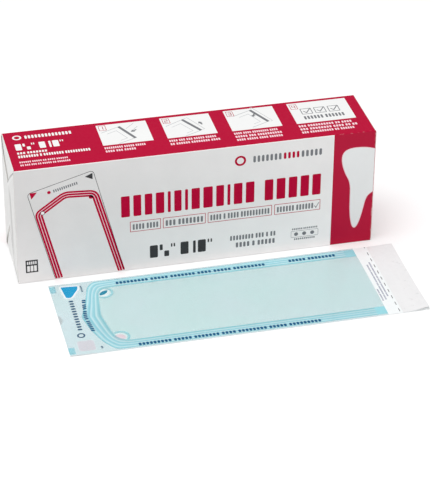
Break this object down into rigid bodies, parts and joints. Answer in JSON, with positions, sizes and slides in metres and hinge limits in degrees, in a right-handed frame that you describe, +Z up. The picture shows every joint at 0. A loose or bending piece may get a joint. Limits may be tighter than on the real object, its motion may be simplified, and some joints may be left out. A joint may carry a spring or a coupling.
{
  "type": "carton of self-seal sterilization pouches",
  "caption": "Folding-board carton with flap-closed ends, holding a stack of flat self-seal sterilization pouches, with a loose pouch of paper and clear blue film lying in front of it.",
  "frame": {"origin": "centre of the carton's base, on the surface it stands on", "axes": "+X along the carton's length, the printed front panel faces -Y, +Z up"},
  "size_m": [0.2805, 0.1546, 0.0944],
  "materials": {
    "board_print": "satin",
    "board_inside": "matte",
    "board_flap": "satin",
    "hot_melt": "satin",
    "pouch_stack": "satin",
    "medical_paper": "matte",
    "film": "gloss",
    "ink_blue": "satin",
    "ink_pink": "satin",
    "adhesive": "satin",
    "liner": "gloss",
    "ink_red": "satin",
    "ink_white": "satin",
    "ink_grey": "satin"
  },
  "bodies": {
    "carton": {"front_panel": "board_print", "back_panel": "board_print", "top_panel": "board_print", "bottom_panel": "board_print", "glue_flap": "board_inside", "seam_adhesive": "hot_melt", "pouch_stack": "pouch_stack"},
    "left_front_flap": {"left_outer_flap_front": "board_flap"},
    "left_back_flap": {"left_outer_flap_back": "board_flap"},
    "left_top_flap": {"left_inner_flap_top": "board_flap", "left_hot_melt_top": "hot_melt"},
    "left_bottom_flap": {"left_inner_flap_bottom": "board_flap", "left_hot_melt_bottom": "hot_melt"},
    "right_front_flap": {"right_outer_flap_front": "board_flap"},
    "right_back_flap": {"right_outer_flap_back": "board_flap"},
    "right_top_flap": {"right_inner_flap_top": "board_flap", "right_hot_melt_top": "hot_melt"},
    "right_bottom_flap": {"right_inner_flap_bottom": "board_flap", "right_hot_melt_bottom": "hot_melt"},
    "pouch": {"pouch_paper": "medical_paper", "pouch_film": "film", "steam_indicator_inside": "ink_blue", "steam_indicator_outside": "ink_blue", "gas_indicator_inside": "ink_pink", "gas_indicator_outside": "ink_pink"},
    "pouch_flap": {"pouch_flap": "medical_paper", "adhesive_strip": "adhesive"},
    "release_liner": {"release_liner": "liner"}
  },
  "joints": [
    {"name": "left_front_flap_hinge", "type": "hinge", "parent": "carton", "child": "left_front_flap", "pos_m": [-0.1335, -0.0281, 0.0472], "axis": [0, 0, 1], "range_deg": [0, 175]},
    {"name": "left_back_flap_hinge", "type": "hinge", "parent": "carton", "child": "left_back_flap", "pos_m": [-0.1335, 0.0281, 0.0472], "axis": [0, 0, -1], "range_deg": [0, 175]},
    {"name": "left_top_flap_hinge", "type": "hinge", "parent": "carton", "child": "left_top_flap", "pos_m": [-0.1329, 0, 0.0944], "axis": [0, 1, 0], "range_deg": [0, 87.5]},
    {"name": "left_bottom_flap_hinge", "type": "hinge", "parent": "carton", "child": "left_bottom_flap", "pos_m": [-0.1329, 0, 0], "axis": [0, -1, 0], "range_deg": [0, 87.5]},
    {"name": "right_front_flap_hinge", "type": "hinge", "parent": "carton", "child": "right_front_flap", "pos_m": [0.1335, -0.0281, 0.0472], "axis": [0, 0, -1], "range_deg": [0, 175]},
    {"name": "right_back_flap_hinge", "type": "hinge", "parent": "carton", "child": "right_back_flap", "pos_m": [0.1335, 0.0281, 0.0472], "axis": [0, 0, 1], "range_deg": [0, 175]},
    {"name": "right_top_flap_hinge", "type": "hinge", "parent": "carton", "child": "right_top_flap", "pos_m": [0.1329, 0, 0.0944], "axis": [0, -1, 0], "range_deg": [0, 87.5]},
    {"name": "right_bottom_flap_hinge", "type": "hinge", "parent": "carton", "child": "right_bottom_flap", "pos_m": [0.1329, 0, 0], "axis": [0, 1, 0], "range_deg": [0, 87.5]},
    {"name": "pouch_slide", "type": "slide", "parent": "carton", "child": "pouch", "axis": [0, -1, 0], "range_m": [0, 0.1]},
    {"name": "pouch_flap_fold", "type": "hinge", "parent": "pouch", "child": "pouch_flap", "pos_m": [0.1265, -0.0815, 0.0002], "axis": [0, -1, 0], "range_deg": [0, 170]},
    {"name": "liner_peel", "type": "slide", "parent": "pouch_flap", "child": "release_liner", "axis": [0, -1, 0], "range_m": [0, 0.095]}
  ],
  "couplings": [
    {"joint": "left_back_flap_hinge", "follows": "left_front_flap_hinge", "ratio": 1},
    {"joint": "left_top_flap_hinge", "follows": "left_front_flap_hinge", "ratio": 0.5},
    {"joint": "left_bottom_flap_hinge", "follows": "left_front_flap_hinge", "ratio": 0.5},
    {"joint": "right_back_flap_hinge", "follows": "right_front_flap_hinge", "ratio": 1},
    {"joint": "right_top_flap_hinge", "follows": "right_front_flap_hinge", "ratio": 0.5},
    {"joint": "right_bottom_flap_hinge", "follows": "right_front_flap_hinge", "ratio": 0.5}
  ]
}
